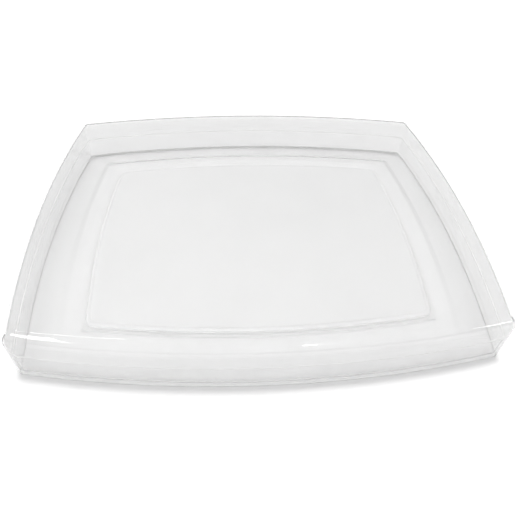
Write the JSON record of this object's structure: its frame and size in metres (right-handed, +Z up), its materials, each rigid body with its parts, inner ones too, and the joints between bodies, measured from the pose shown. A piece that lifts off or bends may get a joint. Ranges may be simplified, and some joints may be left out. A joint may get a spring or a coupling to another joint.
{
  "type": "wet palette",
  "caption": "Clear lidded wet palette with bowed sides: a shallow tray with a raised ring round its well, a sponge and a sheet of palette paper, and a deep lift-off lid.",
  "frame": {"origin": "middle of the underside, where the tray and the lid's edge stand on the table", "axes": "+X to the right along the long side, +Y to the back, +Z up; the lid lifts off along +Z"},
  "size_m": [0.4318, 0.3618, 0.05],
  "materials": {
    "lid_plastic": "clear thermoformed sheet, glossy, colourless",
    "tray_plastic": "clear thermoformed sheet, glossy, colourless",
    "sponge_foam": "white open-cell foam, matt",
    "palette_paper": "smooth white translucent membrane paper, matt"
  },
  "bodies": {
    "tray": {"base_tray": "tray_plastic"},
    "lid": {"lid": "lid_plastic"},
    "sponge": {"sponge": "sponge_foam"},
    "paper": {"palette_paper": "palette_paper"}
  },
  "joints": [
    {"name": "lid_lift", "type": "slide", "parent": "tray", "child": "lid", "axis": [0, 0, 1], "range_m": [0, 0.12]},
    {"name": "sponge_lift", "type": "slide", "parent": "tray", "child": "sponge", "axis": [0, 0, 1], "range_m": [0, 0.02]},
    {"name": "paper_lift", "type": "slide", "parent": "sponge", "child": "paper", "axis": [0, 0, 1], "range_m": [0, 0.02]}
  ]
}
